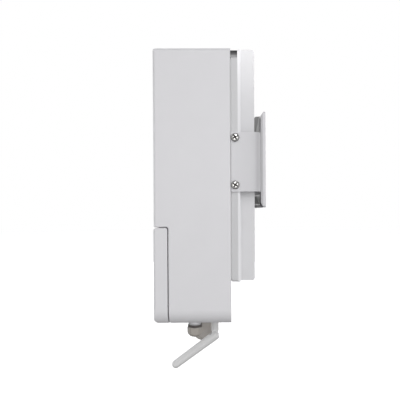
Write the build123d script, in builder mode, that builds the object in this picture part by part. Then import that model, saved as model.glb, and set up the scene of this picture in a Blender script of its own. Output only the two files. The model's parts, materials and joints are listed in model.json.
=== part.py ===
from build123d import *
from collections import namedtuple
from math import cos, hypot, radians, sin, sqrt
import os

os.makedirs("parts", exist_ok=True)

# A wall mounted electronic controller: a plastic housing with a hinged wiring cover, a finned heat
# sink behind it, a U bracket that holds it by its sides, and a wall plate that carries the bracket.
# Below it are two cable glands and an antenna that tilts and swivels.
# Frame: millimetres, +Z up, the front faces -Y, the wall is the plane Y = 0, and the origin is the
# middle of the wall plate's rear face.

# --- Driving sizes -------------------------------------------------------------------------------
fit_gap = 0.05  # radial gap of a screw, stud or pin in its hole
seam_gap = 0.8  # gap round the wiring cover
clear_gap = 0.3  # gap between pieces that pass each other

# wall plate and U bracket, both bent from sheet
sheet = 2.0
plate_width = 180.0
plate_height = 104.0
tab_width = 116.0
tab_depth = 8.0
rim_depth = 3.4  # of the wall plate's side rims, which the bracket rests on
wall_hole_spacing = (150.0, 88.0)
wall_hole_radius = 2.75
wing_bottom = -35.2
wing_height = 63.4
bend_radius = 9.0
bracket_gap = 4.6  # between the bracket's web and the fin tips
stud_radius = 2.5
stud_spacing = (80.0, 36.0)
stud_shoulder = 4.5  # radius of the studs' shoulders behind the bracket
stud_length = 11.2
nut_height = 3.4
nut_flats = 8.0
web_flange_inset = 17.0  # from the bracket's sides
web_flange_depth = 4.0

# heat sink
fin_depth = 16.0
fin_thickness = 2.2
fin_count = 19
fin_inset = 9.0  # of the outer fins from the frame's sides
fin_corner = 3.2
fin_rise = 2.9  # the fins stand this much above the flange
flange_thickness = 2.6
pad_depth = 6.0
pad_margin = 6.0

# rear frame between heat sink and housing
frame_width = 194.0
frame_height = 240.9
frame_depth = 6.6
frame_wall = 8.0
frame_corner = 3.0
seal_height = 6.8
gasket_thickness = 0.8

# housing
housing_width = 200.0
housing_depth = 82.5
housing_height = 295.8
housing_top = 117.8
wall = 3.0
top_round = 5.0  # side to top
bottom_round = 16.5  # side to bottom
front_round = 3.0  # front edges
upper_front_round = 4.5  # front to top
lower_front_round = 7.0  # front to bottom
rear_round = 1.2
frame_drop = 8.8  # the rear frame's top below the housing's top

# wiring cover
seam_height = 105.2  # of the seam above the housing's bottom
cover_depth = 15.4
cover_proud = 0.5
cover_wall = 3.0
seam_round = 2.0
hinge_radius = 3.4
hinge_pin_radius = 1.2
hinge_x = 70.0
knuckle_length = 10.0
hinge_length = 30.0
opening_size = (156.0, 60.0)
rib_margin = 4.0
rib_wall = 2.0
cover_gasket_thickness = 2.0
gasket_edge = 1.0  # the gasket reaches this much past the rib on both sides
cover_screw_rise = 9.0  # above the housing's bottom
cover_screw_travel = 6.0

# glands and antenna, placed by x and y under the housing
# thread: shank radius; flats: across the hexagon; collar, nut, straight and neck: heights below the
# housing; end_radius: of the dome's flat end; bore: for the cable
Gland = namedtuple(
    "Gland",
    "name place boss_drop thread flats collar nut straight neck end_radius bore",
)
glands = [
    Gland("small", (82.0, -78.0), 2.2, 5.9, 15.0, 2.6, 10.8, 5.0, 4.2, 3.2, 2.6),
    Gland("large", (41.0, -69.0), 0.0, 9.9, 24.0, 5.0, 25.0, 15.0, 14.0, 7.4, 5.0),
]
antenna_at = (64.0, -56.4)
antenna_tilt = 54.0  # of the antenna from straight down, towards the front
whip_radius = 5.2
whip_length = 60.0
base_radius = 4.1
collar_drop = 14.4  # of the base's round collar below the housing
connector_radius = 3.1

# boards and screws
board_gaps = (11.0, 6.0)  # between the board's edges and the frame's opening
board_thickness = 1.6
board_gap = 19.8  # between the heat sink's pad and the board
m3_radius = 1.5
m4_radius = 2.0
case_head_radius = 3.8  # of the countersunk screws through the heat sink's flange

# --- Places that follow from the sizes -----------------------------------------------------------
plate_front = -sheet
web_rear = plate_front - rim_depth
web_front = web_rear - sheet
fin_rear = web_front - bracket_gap
flange_rear = fin_rear - fin_depth
flange_front = flange_rear - flange_thickness
pad_front = flange_front - pad_depth
frame_front = flange_front - frame_depth
housing_rear = frame_front - gasket_thickness
housing_front = housing_rear - housing_depth
inner_front = housing_front + wall
inner_rear = housing_rear - wall

housing_bottom = housing_top - housing_height
seam_z = housing_bottom + seam_height
housing_middle = housing_top - housing_height / 2
frame_top = housing_top - frame_drop
frame_bottom = frame_top - frame_height
frame_middle = frame_top - frame_height / 2
flange_top = frame_top + seal_height + clear_gap
wing_top = wing_bottom + wing_height

step_y = housing_front + cover_depth  # face behind the cover
cover_front = housing_front - cover_proud
cover_rear = step_y - seam_gap
cover_top = seam_z - seam_gap
hinge_y = cover_front + hinge_radius
hinge_z = cover_top - hinge_radius
# the cover's top wall sweeps past the gasket as it opens, so the gasket starts below that sweep
sweep_radius = hypot(cover_rear - hinge_y, hinge_radius)
gasket_reach = step_y - cover_gasket_thickness - hinge_y
gasket_top = hinge_z - sqrt(sweep_radius**2 - gasket_reach**2) - clear_gap
opening_top = gasket_top - rib_margin - rib_wall - gasket_edge
opening_middle = opening_top - opening_size[1] / 2
cover_screw_z = housing_bottom + cover_screw_rise

board_rear = pad_front - board_gap
board_front = board_rear - board_thickness
board_width = frame_width - 2 * (frame_wall + board_gaps[0])
board_bottom = frame_bottom + frame_wall + board_gaps[1]
board_top = frame_top - frame_wall - board_gaps[1]
board_middle = (board_bottom + board_top) / 2


def facing(y):
    """Plane across the object at depth y, drawn in x and z, whose extrusions grow towards the front."""
    return Plane.XZ.offset(-y)


def side_plane(x):
    """Plane along the object at x, drawn in y and z, whose extrusions grow towards +X."""
    return Plane.YZ.offset(x)


def mirrored(values):
    """The same values on both sides of the middle."""
    return [side * value for value in values for side in (-1, 1)]


def front_outline(inset):
    """The housing's outline from the front, moved inwards by inset."""
    width = housing_width - 2 * inset
    height = housing_height - 2 * inset
    with Locations((0, housing_middle)):
        Rectangle(width, height)
    fillet(vertices().group_by(Axis.Y)[-1], top_round - inset)
    fillet(vertices().group_by(Axis.Y)[0], bottom_round - inset)


def plan_outline(front, rear, front_radius, rear_radius):
    """The outline from above between two depths, with rounded front and rear corners."""
    with Locations((0, (front + rear) / 2)):
        Rectangle(housing_width, rear - front)
    fillet(vertices().group_by(Axis.Y)[0], front_radius)
    if rear_radius > 0:
        fillet(vertices().group_by(Axis.Y)[-1], rear_radius)


def span(low, high, other_low, other_high):
    """A rectangle between two corners of the sketch."""
    with Locations(((low + high) / 2, (other_low + other_high) / 2)):
        Rectangle(high - low, other_high - other_low)


# --- Wall plate ----------------------------------------------------------------------------------
rim_bevel = 5.0

with BuildPart() as wall_plate:
    with BuildSketch(facing(0)):
        Rectangle(plate_width, plate_height)
        fillet(vertices(), 3.0)
        with GridLocations(*wall_hole_spacing, 2, 2):
            Circle(wall_hole_radius, mode=Mode.SUBTRACT)
        with GridLocations(*stud_spacing, 2, 2):
            Circle(stud_radius + fit_gap, mode=Mode.SUBTRACT)
    extrude(amount=sheet)
    # stiffening tabs bent forward along the top and bottom edges
    for tab_z in (plate_height / 2 - sheet, -plate_height / 2):
        with BuildSketch(Plane.XY.offset(tab_z)):
            span(-tab_width / 2, tab_width / 2, plate_front - tab_depth, plate_front)
            fillet(vertices().group_by(Axis.Y)[0], 2.5)
        extrude(amount=sheet)

    # side rims bent forward, with bevelled ends
    for x in (-plate_width / 2, plate_width / 2 - sheet):
        with BuildSketch(side_plane(x)):
            with BuildLine():
                rim_y = plate_front - rim_depth
                rim_z = plate_height / 2
                Polyline(
                    (plate_front, -rim_z),
                    (rim_y, rim_bevel - rim_z),
                    (rim_y, rim_z - rim_bevel),
                    (plate_front, rim_z),
                    close=True,
                )
            make_face()
        extrude(amount=sheet)

wall_plate.part.label = "wall_plate"
export_step(wall_plate.part, "parts/wall_plate.step")

# --- Clinch studs of the wall plate and their nuts -----------------------------------------------
with BuildPart() as plate_studs:
    with BuildSketch(facing(0)):
        with GridLocations(*stud_spacing, 2, 2):
            Circle(stud_radius)
    extrude(amount=stud_length)
    with BuildSketch(facing(plate_front)):
        with GridLocations(*stud_spacing, 2, 2):
            Circle(stud_shoulder)
    extrude(amount=rim_depth)

plate_studs.part.label = "plate_studs"
export_step(plate_studs.part, "parts/plate_studs.step")

with BuildPart() as stud_nuts:
    with BuildSketch(facing(web_front)):
        with GridLocations(*stud_spacing, 2, 2):
            RegularPolygon(nut_flats / 2, 6, major_radius=False)
            Circle(stud_radius + fit_gap, mode=Mode.SUBTRACT)
    extrude(amount=nut_height)

stud_nuts.part.label = "stud_nuts"
export_step(stud_nuts.part, "parts/stud_nuts.step")

# --- U bracket -----------------------------------------------------------------------------------
wing_outer = frame_width / 2 + sheet
web_flange_width = 2 * (wing_outer - web_flange_inset)
wing_front = housing_rear + 0.4
side_head_radius = 4.5
side_screw_y = housing_rear + side_head_radius + 0.2  # the heads just clear the housing's edge
side_screw_heights = [wing_bottom + 7.1, wing_top - 5.8]

with BuildPart() as mounting_bracket:
    with BuildSketch(Plane.XY.offset(wing_bottom)):
        span(-wing_outer, wing_outer, wing_front, web_rear)
        fillet(vertices().group_by(Axis.Y)[-1], bend_radius)
        with BuildSketch(mode=Mode.SUBTRACT):
            span(sheet - wing_outer, wing_outer - sheet, wing_front, web_front)
            fillet(vertices().group_by(Axis.Y)[-1], bend_radius - sheet)
    extrude(amount=wing_height)
    # the web's lower edge reaches below the wings and is bent forward
    with BuildSketch(side_plane(-web_flange_width / 2)):
        span(web_front - web_flange_depth, web_rear, wing_bottom - sheet, wing_bottom)
    extrude(amount=web_flange_width)
    with BuildSketch(facing(web_rear)):
        with GridLocations(*stud_spacing, 2, 2):
            Circle(stud_radius + fit_gap)
    extrude(amount=sheet, mode=Mode.SUBTRACT)
    with BuildSketch(side_plane(-wing_outer)):
        with Locations(*[(side_screw_y, z) for z in side_screw_heights]):
            Circle(m4_radius + fit_gap)
    extrude(amount=2 * wing_outer, mode=Mode.SUBTRACT)

mounting_bracket.part.label = "mounting_bracket"
export_step(mounting_bracket.part, "parts/mounting_bracket.step")

# --- Pan-head cross-recessed screws through the bracket's wings ----------------------------------
side_head_height = 3.2
side_screw_length = 13.0

with BuildPart() as bracket_screws:
    for height in side_screw_heights:
        with BuildSketch(side_plane(wing_outer)):
            with Locations((side_screw_y, height)):
                Circle(side_head_radius)
        extrude(amount=side_head_height)
        with BuildSketch(side_plane(wing_outer - side_screw_length)):
            with Locations((side_screw_y, height)):
                Circle(m4_radius)
        extrude(amount=side_screw_length)
    head_rims = edges().filter_by(GeomType.CIRCLE).group_by(Axis.X)[-1]
    fillet(head_rims, 2.4)
    with BuildSketch(side_plane(wing_outer + side_head_height)):
        with Locations(*[(side_screw_y, height) for height in side_screw_heights]):
            Rectangle(5.4, 1.1)
            Rectangle(1.1, 5.4)
    extrude(amount=-2.0, mode=Mode.SUBTRACT)
    mirror(about=Plane.YZ)

bracket_screws.part.label = "bracket_screws"
export_step(bracket_screws.part, "parts/bracket_screws.step")

# --- Rear frame ----------------------------------------------------------------------------------
case_screw_x = frame_width / 2 - frame_wall / 2
case_screw_heights = [
    frame_bottom + 10.0,
    wing_bottom - 35.0,
    wing_top + 28.0,
    frame_top - 10.0,
]
case_screw_places = [(x, z) for x in mirrored([case_screw_x]) for z in case_screw_heights]


def frame_ring(outer_inset, inner_inset):
    """A ring that follows the rear frame, between two distances in from its outer edge."""
    with Locations((0, frame_middle)):
        RectangleRounded(
            frame_width - 2 * outer_inset, frame_height - 2 * outer_inset, frame_corner
        )
        RectangleRounded(
            frame_width - 2 * inner_inset,
            frame_height - 2 * inner_inset,
            frame_corner,
            mode=Mode.SUBTRACT,
        )


with BuildPart() as rear_frame:
    with BuildSketch(facing(flange_front)):
        frame_ring(0, frame_wall)
        with Locations(*case_screw_places):
            Circle(m4_radius + fit_gap, mode=Mode.SUBTRACT)
    extrude(amount=frame_depth)
    with BuildSketch(side_plane(-frame_width / 2)):
        with Locations(*[(side_screw_y, z) for z in side_screw_heights]):
            Circle(m4_radius + fit_gap)
    extrude(amount=frame_width, mode=Mode.SUBTRACT)

rear_frame.part.label = "rear_frame"
export_step(rear_frame.part, "parts/rear_frame.step")

with BuildPart() as housing_gasket:
    with BuildSketch(facing(frame_front)):
        frame_ring(1.0, frame_wall - 1.0)
        with Locations(*case_screw_places):
            Circle(m4_radius + fit_gap, mode=Mode.SUBTRACT)
    extrude(amount=gasket_thickness)

housing_gasket.part.label = "housing_gasket"
export_step(housing_gasket.part, "parts/housing_gasket.step")

# black foam strip above the frame, between housing and flange
with BuildPart() as top_seal:
    with BuildSketch(facing(flange_front)):
        span(-frame_width / 2 + 1.5, frame_width / 2 - 1.5, frame_top, frame_top + seal_height)
    extrude(amount=flange_front - housing_rear)

top_seal.part.label = "top_seal"
export_step(top_seal.part, "parts/top_seal.step")

# --- Heat sink -----------------------------------------------------------------------------------
pad_width = frame_width - 2 * (frame_wall + pad_margin)
pad_height = frame_height - 2 * (frame_wall + pad_margin)
fin_span = frame_width - 2 * fin_inset
fin_pitch = (fin_span - fin_thickness) / (fin_count - 1)
standoff_heights = [board_bottom + 8.5, board_middle, board_top - 8.5]
standoff_x = board_width / 2 - 6.0
standoff_places = [(x, z) for x in mirrored([standoff_x]) for z in standoff_heights]
transistor_xs = [-48.0, -16.0, 16.0, 48.0]
transistor_z = 60.0
clamp_screw_xs = [-32.0, 0.0, 32.0]

with BuildPart() as heat_sink:
    with BuildSketch(facing(flange_rear)):
        span(-frame_width / 2, frame_width / 2, frame_bottom, flange_top)
        fillet(vertices(), 1.0)
        with Locations(*case_screw_places):
            Circle(m4_radius + fit_gap, mode=Mode.SUBTRACT)
    extrude(amount=flange_thickness)
    with BuildSketch(facing(flange_front)):
        with Locations((0, frame_middle)):
            Rectangle(pad_width, pad_height)
    extrude(amount=pad_depth)
    for index in range(fin_count):
        with BuildSketch(side_plane(-fin_span / 2 + index * fin_pitch)):
            span(flange_rear, fin_rear, frame_bottom + 0.2, flange_top + fin_rise)
            fillet(vertices().group_by(Axis.X)[-1], fin_corner)
        extrude(amount=fin_thickness)
    # blind tapped holes for the board's standoffs and the transistor clamp
    with BuildSketch(facing(pad_front)):
        with Locations(*standoff_places, *[(x, transistor_z) for x in clamp_screw_xs]):
            Circle(m3_radius + fit_gap)
    extrude(amount=-5.0, mode=Mode.SUBTRACT)
    # countersinks for the case screws, flush with the flange
    with BuildSketch(facing(flange_rear)):
        with Locations(*case_screw_places):
            Circle(case_head_radius)
    extrude(amount=case_head_radius - m4_radius, taper=45, mode=Mode.SUBTRACT)

heat_sink.part.label = "heat_sink"
export_step(heat_sink.part, "parts/heat_sink.step")

# --- Housing -------------------------------------------------------------------------------------
boss_length = 17.0
lens_size = (50.0, 6.0)
lens_z = housing_top - 42.0
status_board_y = inner_front + 6.0
status_board_size = (84.0, 20.0)
insert_radius = 3.2
insert_length = 9.0
gland_pad = 3.0  # height of the flat pads inside under the lock nuts
gland_floor = housing_bottom + wall + gland_pad

with BuildPart() as housing:
    # three crossed prisms round every outer edge
    with BuildSketch(facing(housing_rear)):
        front_outline(0)
    extrude(amount=housing_depth)
    with BuildSketch(side_plane(-housing_width / 2)):
        span(housing_front, housing_rear, housing_bottom, housing_top)
        fillet(vertices().group_by(Axis.X)[0].sort_by(Axis.Y)[-1], upper_front_round)
        fillet(vertices().group_by(Axis.X)[0].sort_by(Axis.Y)[0], lower_front_round)
        fillet(vertices().group_by(Axis.X)[-1], rear_round)
    extrude(amount=housing_width, mode=Mode.INTERSECT)
    with BuildSketch(Plane.XY.offset(housing_bottom)):
        plan_outline(housing_front, housing_rear, front_round, rear_round)
    extrude(amount=housing_height, mode=Mode.INTERSECT)
    # step behind the wiring cover
    with BuildSketch(side_plane(-housing_width / 2)):
        span(housing_front - 1, step_y, housing_bottom - 1, seam_z)
        fillet(vertices().group_by(Axis.X)[-1].sort_by(Axis.Y)[-1], seam_round)
    extrude(amount=housing_width, mode=Mode.SUBTRACT)
    # round the housing's lower front edge above the seam
    lower_edge = edges().filter_by(Axis.X).group_by(Axis.Y)[0].sort_by(Axis.Z)[0]
    fillet(lower_edge, 1.5)
    # hollow inside
    with BuildSketch(facing(inner_rear)):
        front_outline(wall)
    extrude(amount=inner_rear - (step_y + wall), mode=Mode.SUBTRACT)
    with BuildSketch(facing(step_y + wall)):
        front_outline(wall)
        with Locations((0, seam_z + wall + housing_height / 2)):
            Rectangle(housing_width, housing_height, mode=Mode.INTERSECT)
    extrude(amount=cover_depth, mode=Mode.SUBTRACT)
    # rear opening inside the frame
    with BuildSketch(facing(housing_rear)):
        with Locations((0, frame_middle)):
            Rectangle(frame_width - 2 * frame_wall, frame_height - 2 * frame_wall)
        fillet(vertices(), frame_corner)
    extrude(amount=wall, mode=Mode.SUBTRACT)
    # wiring opening behind the cover
    with BuildSketch(facing(step_y)):
        with Locations((0, opening_middle)):
            Rectangle(*opening_size)
        fillet(vertices(), 6.0)
    extrude(amount=-wall, mode=Mode.SUBTRACT)
    # screw bosses behind the frame
    with BuildSketch(facing(inner_rear)):
        with Locations(*case_screw_places):
            Circle(m4_radius + 1.6)
    extrude(amount=boss_length)
    with BuildSketch(facing(housing_rear)):
        with Locations(*case_screw_places):
            Circle(m4_radius + fit_gap)
    extrude(amount=wall + boss_length - 2.0, mode=Mode.SUBTRACT)
    # boss of the cover screw's insert
    with BuildSketch(facing(step_y)):
        with Locations((0, cover_screw_z)):
            Circle(insert_radius + 2.0)
    extrude(amount=-insert_length)
    with BuildSketch(facing(step_y)):
        with Locations((0, cover_screw_z)):
            Circle(insert_radius + fit_gap)
    extrude(amount=-insert_length - 1.0, mode=Mode.SUBTRACT)
    # hinge knuckles hang from the step's ceiling
    for x in mirrored([hinge_x]):
        with BuildSketch(side_plane(x - knuckle_length / 2)):
            with Locations((hinge_y, hinge_z)):
                Circle(hinge_radius - clear_gap)
            span(hinge_y, hinge_y + hinge_radius - clear_gap, hinge_z, seam_z + 1.0)
            with Locations((hinge_y, hinge_z)):
                Circle(hinge_pin_radius + 0.02, mode=Mode.SUBTRACT)
        extrude(amount=knuckle_length)
    # window of the status lens, and the posts of its board
    with BuildSketch(facing(inner_front)):
        with Locations((0, lens_z)):
            SlotOverall(lens_size[0] + 2 * fit_gap, lens_size[1] + 2 * fit_gap)
    extrude(amount=wall, mode=Mode.SUBTRACT)
    with BuildSketch(facing(status_board_y)):
        with Locations(*[(x, lens_z) for x in mirrored([status_board_size[0] / 2 - 6.0])]):
            Circle(3.0)
            Circle(1.1, mode=Mode.SUBTRACT)
    extrude(until=Until.NEXT)
    # flat pads for the glands and the antenna's connector
    with BuildSketch(Plane.XY.offset(housing_bottom + wall)):
        for gland in glands:
            with Locations(gland.place):
                Circle(gland.flats / 2 / cos(radians(30)) + 1.0)
        with Locations(antenna_at):
            Circle(connector_radius + 4.4)
    extrude(amount=gland_pad)
    for gland in glands:
        if gland.boss_drop > 0:
            with BuildSketch(Plane.XY.offset(housing_bottom - gland.boss_drop)):
                with Locations(gland.place):
                    Circle(gland.thread + 0.9)
            extrude(amount=gland.boss_drop + wall)
        with BuildSketch(Plane.XY.offset(gland_floor)):
            with Locations(gland.place):
                Circle(gland.thread + fit_gap)
        extrude(amount=-(gland.boss_drop + wall + gland_pad), mode=Mode.SUBTRACT)
    with BuildSketch(Plane.XY.offset(gland_floor)):
        with Locations(antenna_at):
            Circle(connector_radius + fit_gap)
    extrude(amount=-(wall + gland_pad), mode=Mode.SUBTRACT)

housing.part.label = "housing"
export_step(housing.part, "parts/housing.step")

# --- Screws that clamp heat sink, frame and gasket to the housing --------------------------------
case_screw_grip = flange_rear - housing_rear
case_screw_length = case_screw_grip + wall + boss_length - 4.0

with BuildPart() as housing_screws:
    with BuildSketch(facing(flange_rear)):
        with Locations(*case_screw_places):
            Circle(m4_radius)
    extrude(amount=case_screw_length)
    with BuildSketch(facing(flange_rear)):
        with Locations(*case_screw_places):
            Circle(case_head_radius - fit_gap)
    extrude(amount=case_head_radius - fit_gap - m4_radius, taper=45)
    with BuildSketch(facing(flange_rear)):
        with Locations(*case_screw_places):
            Rectangle(4.0, 0.9)
            Rectangle(0.9, 4.0)
    extrude(amount=1.4, mode=Mode.SUBTRACT)

housing_screws.part.label = "housing_screws"
export_step(housing_screws.part, "parts/housing_screws.step")

# --- Wiring cover --------------------------------------------------------------------------------
cover_boss_depth = 13.0
cover_head_radius = 4.5
cover_head_height = 3.2
cover_head_sink = 0.5
cover_seat_y = cover_front + cover_head_sink + cover_head_height + cover_screw_travel

with BuildPart() as access_cover:
    with BuildSketch(facing(cover_rear)):
        front_outline(0)
        with Locations((0, cover_top - housing_height / 2)):
            Rectangle(housing_width, housing_height, mode=Mode.INTERSECT)
    extrude(amount=cover_rear - cover_front)
    with BuildSketch(side_plane(-housing_width / 2)):
        span(cover_front, cover_rear, housing_bottom, cover_top)
        fillet(vertices().group_by(Axis.X)[0].sort_by(Axis.Y)[-1], hinge_radius)
        fillet(vertices().group_by(Axis.X)[0].sort_by(Axis.Y)[0], lower_front_round)
        fillet(vertices().group_by(Axis.X)[-1].sort_by(Axis.Y)[-1], seam_round)
    extrude(amount=housing_width, mode=Mode.INTERSECT)
    with BuildSketch(Plane.XY.offset(housing_bottom)):
        plan_outline(cover_front, cover_rear, front_round, 0)
    extrude(amount=seam_height, mode=Mode.INTERSECT)
    with BuildSketch(facing(cover_rear)):
        front_outline(cover_wall)
        with Locations((0, cover_top - cover_wall - housing_height / 2)):
            Rectangle(housing_width, housing_height, mode=Mode.INTERSECT)
    extrude(amount=cover_rear - cover_front - cover_wall, mode=Mode.SUBTRACT)
    # rib that presses on the gasket round the wiring opening
    with BuildSketch(facing(step_y - cover_gasket_thickness - clear_gap)):
        with Locations((0, opening_middle)):
            Rectangle(
                opening_size[0] + 2 * (rib_margin + rib_wall),
                opening_size[1] + 2 * (rib_margin + rib_wall),
            )
            Rectangle(
                opening_size[0] + 2 * rib_margin,
                opening_size[1] + 2 * rib_margin,
                mode=Mode.SUBTRACT,
            )
    extrude(until=Until.NEXT)
    # screw boss and its recess
    with BuildSketch(facing(cover_front + cover_boss_depth)):
        with Locations((0, cover_screw_z)):
            Circle(cover_head_radius + 2.4)
    extrude(until=Until.NEXT)
    with BuildSketch(facing(cover_seat_y)):
        with Locations((0, cover_screw_z)):
            Circle(cover_head_radius + 0.5)
    extrude(amount=cover_seat_y - cover_front, mode=Mode.SUBTRACT)
    with BuildSketch(facing(cover_front + cover_boss_depth)):
        with Locations((0, cover_screw_z)):
            Circle(m4_radius + 0.1)
    extrude(amount=cover_boss_depth, mode=Mode.SUBTRACT)
    # hinge barrels with a gap for the housing's knuckles
    for x in mirrored([hinge_x]):
        with BuildSketch(side_plane(x - hinge_length / 2)):
            with Locations((hinge_y, hinge_z)):
                Circle(hinge_radius)
        extrude(amount=hinge_length)
        with BuildSketch(side_plane(x - knuckle_length / 2 - clear_gap)):
            span(cover_front - 1, hinge_y + 5.2, hinge_z - 4.4, cover_top + 1)
        extrude(amount=knuckle_length + 2 * clear_gap, mode=Mode.SUBTRACT)
        with BuildSketch(side_plane(x - hinge_length / 2 + 3.0)):
            with Locations((hinge_y, hinge_z)):
                Circle(hinge_pin_radius + fit_gap)
        extrude(amount=hinge_length - 6.0, mode=Mode.SUBTRACT)

access_cover.part.label = "access_cover"
export_step(access_cover.part, "parts/access_cover.step")

with BuildPart() as cover_gasket:
    with BuildSketch(facing(step_y)):
        with Locations((0, opening_middle)):
            Rectangle(
                opening_size[0] + 2 * (rib_margin + rib_wall + gasket_edge),
                opening_size[1] + 2 * (rib_margin + rib_wall + gasket_edge),
            )
            Rectangle(
                opening_size[0] + 2 * (rib_margin - gasket_edge),
                opening_size[1] + 2 * (rib_margin - gasket_edge),
                mode=Mode.SUBTRACT,
            )
    extrude(amount=cover_gasket_thickness)

cover_gasket.part.label = "cover_gasket"
export_step(cover_gasket.part, "parts/cover_gasket.step")

with BuildPart() as cover_hinge_pins:
    for x in mirrored([hinge_x]):
        with BuildSketch(side_plane(x - hinge_length / 2 + 3.2)):
            with Locations((hinge_y, hinge_z)):
                Circle(hinge_pin_radius)
        extrude(amount=hinge_length - 6.4)

cover_hinge_pins.part.label = "cover_hinge_pins"
export_step(cover_hinge_pins.part, "parts/cover_hinge_pins.step")

with BuildPart() as cover_screw:
    with BuildSketch(facing(cover_front + cover_head_sink + cover_head_height)):
        with Locations((0, cover_screw_z)):
            Circle(cover_head_radius)
    extrude(amount=cover_head_height)
    with BuildSketch(facing(cover_front + cover_head_sink + cover_head_height)):
        with Locations((0, cover_screw_z)):
            Circle(m4_radius)
    extrude(amount=clear_gap + cover_head_height + cover_head_sink + cover_front - step_y)
    with BuildSketch(facing(cover_front + cover_head_sink)):
        with Locations((0, cover_screw_z)):
            Rectangle(5.2, 1.0)
            Rectangle(1.0, 5.2)
    extrude(amount=-1.8, mode=Mode.SUBTRACT)

cover_screw.part.label = "cover_screw"
export_step(cover_screw.part, "parts/cover_screw.step")

with BuildPart() as cover_insert:
    with BuildSketch(facing(step_y)):
        with Locations((0, cover_screw_z)):
            Circle(insert_radius)
            Circle(m4_radius + fit_gap, mode=Mode.SUBTRACT)
    extrude(amount=-insert_length)

cover_insert.part.label = "cover_insert"
export_step(cover_insert.part, "parts/cover_insert.step")

# --- Status lens, its board and its lamps --------------------------------------------------------
with BuildPart() as status_lens:
    with BuildSketch(facing(inner_front)):
        with Locations((0, lens_z)):
            SlotOverall(*lens_size)
    extrude(amount=wall)

status_lens.part.label = "status_lens"
export_step(status_lens.part, "parts/status_lens.step")

status_screw_xs = mirrored([status_board_size[0] / 2 - 6.0])
lamp_xs = [-16.0, 0.0, 16.0]

with BuildPart() as status_board:
    with BuildSketch(facing(status_board_y + board_thickness)):
        with Locations((0, lens_z)):
            Rectangle(*status_board_size)
        with Locations(*[(x, lens_z) for x in status_screw_xs]):
            Circle(1.1, mode=Mode.SUBTRACT)
    extrude(amount=board_thickness)

status_board.part.label = "status_board"
export_step(status_board.part, "parts/status_board.step")

with BuildPart() as status_lamps:
    with BuildSketch(facing(status_board_y)):
        with Locations(*[(x, lens_z) for x in lamp_xs]):
            Circle(2.5)
    extrude(amount=status_board_y - inner_front - 0.5)

status_lamps.part.label = "status_lamps"
export_step(status_lamps.part, "parts/status_lamps.step")

with BuildPart() as status_board_screws:
    with BuildSketch(facing(status_board_y + board_thickness)):
        with Locations(*[(x, lens_z) for x in status_screw_xs]):
            Circle(1.05)
    extrude(amount=board_thickness + 5.0)
    with BuildSketch(facing(status_board_y + board_thickness)):
        with Locations(*[(x, lens_z) for x in status_screw_xs]):
            Circle(2.2)
    extrude(amount=-1.6)

status_board_screws.part.label = "status_board_screws"
export_step(status_board_screws.part, "parts/status_board_screws.step")

# --- Main board on its standoffs -----------------------------------------------------------------
with BuildPart() as main_board:
    with BuildSketch(facing(board_rear)):
        span(-board_width / 2, board_width / 2, board_bottom, board_top)
        fillet(vertices(), 2.0)
        with Locations(*standoff_places):
            Circle(m3_radius + fit_gap, mode=Mode.SUBTRACT)
    extrude(amount=board_thickness)

main_board.part.label = "main_board"
export_step(main_board.part, "parts/main_board.step")

with BuildPart() as board_standoffs:
    with BuildSketch(facing(pad_front)):
        with Locations(*standoff_places):
            RegularPolygon(2.75, 6, major_radius=False)
    extrude(amount=board_gap)
    with BuildSketch(facing(pad_front)):
        with Locations(*standoff_places):
            Circle(m3_radius)
    extrude(amount=-4.6)
    with BuildSketch(facing(board_rear)):
        with Locations(*standoff_places):
            Circle(m3_radius + fit_gap)
    extrude(amount=-7.0, mode=Mode.SUBTRACT)

board_standoffs.part.label = "board_standoffs"
export_step(board_standoffs.part, "parts/board_standoffs.step")

with BuildPart() as board_screws:
    with BuildSketch(facing(board_front)):
        with Locations(*standoff_places):
            Circle(2.8)
    extrude(amount=2.0)
    with BuildSketch(facing(board_front)):
        with Locations(*standoff_places):
            Circle(m3_radius)
    extrude(amount=-6.0)

board_screws.part.label = "board_screws"
export_step(board_screws.part, "parts/board_screws.step")

# --- Terminal block at the board's lower end -----------------------------------------------------
terminal_count = 8
terminal_pitch = 11.0
terminal_height = 20.0
terminal_depth = 22.0
terminal_bottom = board_bottom + 1.0
terminal_middle = terminal_bottom + terminal_height / 2
terminal_width = terminal_count * terminal_pitch + 3.0

with BuildPart() as terminal_block:
    with BuildSketch(facing(board_front)):
        with Locations((0, terminal_middle)):
            Rectangle(terminal_width, terminal_height)
    extrude(amount=terminal_depth)
    with BuildSketch(facing(board_front - terminal_depth)):
        with Locations((0, terminal_middle)):
            with GridLocations(terminal_pitch, 0, terminal_count, 1):
                Circle(3.2)
    extrude(amount=-7.0, mode=Mode.SUBTRACT)
    with BuildSketch(Plane.XY.offset(terminal_bottom)):
        with Locations((0, board_front - terminal_depth / 2 + 2.0)):
            with GridLocations(terminal_pitch, 0, terminal_count, 1):
                Rectangle(6.4, 7.0)
    extrude(amount=12.0, mode=Mode.SUBTRACT)

terminal_block.part.label = "terminal_block"
export_step(terminal_block.part, "parts/terminal_block.step")

with BuildPart() as terminal_screws:
    with BuildSketch(facing(board_front - terminal_depth + 7.0)):
        with Locations((0, terminal_middle)):
            with GridLocations(terminal_pitch, 0, terminal_count, 1):
                Circle(3.0)
    extrude(amount=5.0)
    with BuildSketch(facing(board_front - terminal_depth + 2.0)):
        with Locations((0, terminal_middle)):
            with GridLocations(terminal_pitch, 0, terminal_count, 1):
                Rectangle(6.4, 0.9)
    extrude(amount=-1.4, mode=Mode.SUBTRACT)

terminal_screws.part.label = "terminal_screws"
export_step(terminal_screws.part, "parts/terminal_screws.step")

# --- Power parts on the board --------------------------------------------------------------------
with BuildPart() as capacitors:
    with BuildSketch(facing(board_front)):
        with Locations((0, board_top - 34.5)):
            with GridLocations(30.0, 0, 4, 1):
                Circle(12.5)
    extrude(amount=38.0)
    fillet(edges().filter_by(GeomType.CIRCLE).group_by(Axis.Y)[0], 1.2)

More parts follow.
